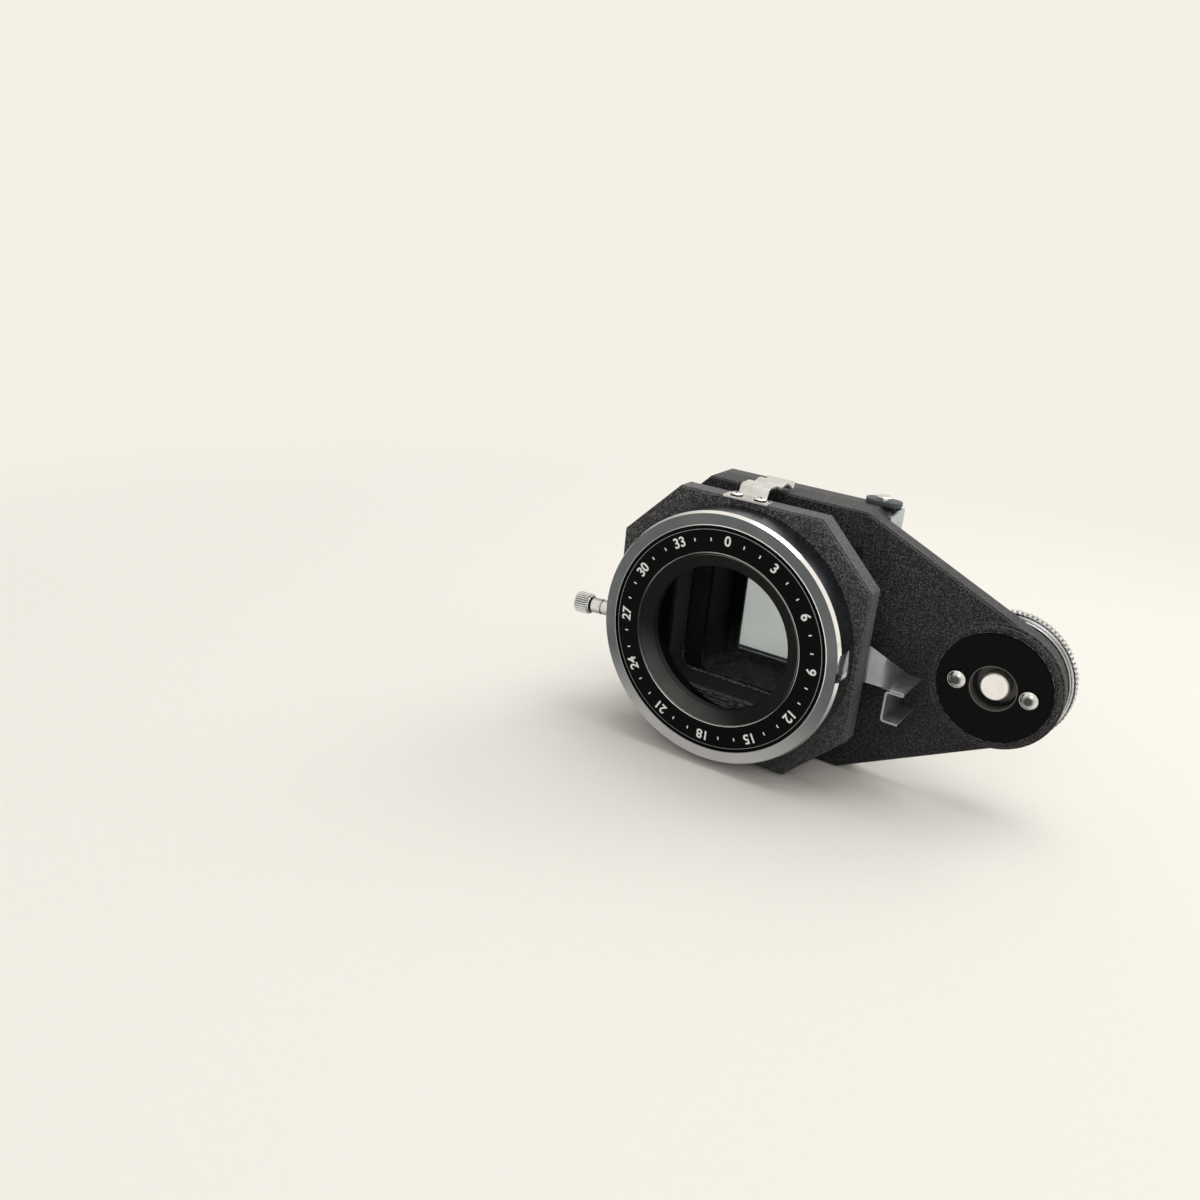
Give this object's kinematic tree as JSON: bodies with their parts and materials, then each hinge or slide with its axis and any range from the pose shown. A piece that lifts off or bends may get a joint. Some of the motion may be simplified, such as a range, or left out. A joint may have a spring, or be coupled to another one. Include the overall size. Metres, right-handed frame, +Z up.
{
  "type": "slide duplicator head",
  "caption": "Bellows slide-copying head with a chrome lens clamp ring, an offset rail arm with a knob, a spring latch and a hinged opal door behind the picture gate.",
  "frame": {"origin": "centre of the lens seat on the front face of the adapter ring", "axes": "+Y back along the optical axis, +X out along the rail arm, +Z up"},
  "size_m": [0.1275, 0.051, 0.074],
  "materials": {
    "chrome_polished": "polished",
    "chrome_satin": "satin",
    "crinkle_black": "crinkle",
    "smooth_black": "satin",
    "matt_black": "matt",
    "gloss_black": "gloss",
    "bellows_cloth": "matt",
    "spring_steel": "brushed",
    "screw_steel": "satin",
    "zinc_steel": "satin",
    "opal": "opal"
  },
  "bodies": {
    "head": {"bellows": "bellows_cloth", "rear_bellows_frame": "matt_black", "rear_frame_screws": "screw_steel", "arm_plate": "crinkle_black", "rear_cover": "smooth_black", "cover_screws": "screw_steel", "light_sleeve": "matt_black", "gate_mask": "matt_black", "gate_channel": "zinc_steel", "channel_screws": "screw_steel", "holder_lug": "smooth_black", "lug_screw": "chrome_polished", "slide_holder": "smooth_black", "holder_screws": "screw_steel", "slide_springs": "spring_steel", "spring_rivets": "screw_steel", "door_pin": "chrome_satin", "door_catch": "spring_steel", "catch_screw": "screw_steel", "rail_pad": "gloss_black", "guide_pins": "chrome_polished", "knob_washer": "chrome_satin"},
    "front_standard": {"lens_ring": "chrome_polished", "adapter_ring": "gloss_black", "ring_nut": "matt_black", "lens_board": "crinkle_black", "front_bellows_frame": "matt_black", "front_frame_screws": "screw_steel", "latch_screws": "chrome_polished", "side_catch": "chrome_satin", "catch_rivets": "screw_steel"},
    "latch": {"top_latch": "spring_steel"},
    "clamp": {"clamp_screw": "chrome_polished"},
    "rail_screw_set": {"rail_screw": "chrome_polished", "screw_clip": "screw_steel", "rail_knob": "chrome_satin", "knob_screw": "screw_steel"},
    "door": {"diffuser_frame": "smooth_black", "opal_glass": "opal", "glass_clips": "spring_steel"}
  },
  "joints": [
    {"name": "bellows_draw", "type": "slide", "parent": "head", "child": "front_standard", "axis": [0, -1, 0], "range_m": [0, 0.036], "deforming": ["bellows"]},
    {"name": "latch_lift", "type": "hinge", "parent": "front_standard", "child": "latch", "pos_m": [-0.001, 0.0124, 0.03622], "axis": [1, 0, 0], "range_deg": [0, 14], "stiffness_Nm_per_rad": 0.2, "deforming": ["top_latch"]},
    {"name": "clamp_screw_turn", "type": "hinge", "parent": "front_standard", "child": "clamp", "pos_m": [0, 0.0044, 0], "axis": [-0.998, 0, -0.0628], "range_deg": [0, 720]},
    {"name": "rail_knob_turn", "type": "hinge", "parent": "head", "child": "rail_screw_set", "pos_m": [0.064, 0.0311, 0], "axis": [0, 1, 0], "continuous": true},
    {"name": "door_open", "type": "hinge", "parent": "head", "child": "door", "pos_m": [0.0274, 0.0485, 0], "axis": [0, 0, -1], "range_deg": [0, 110]}
  ]
}
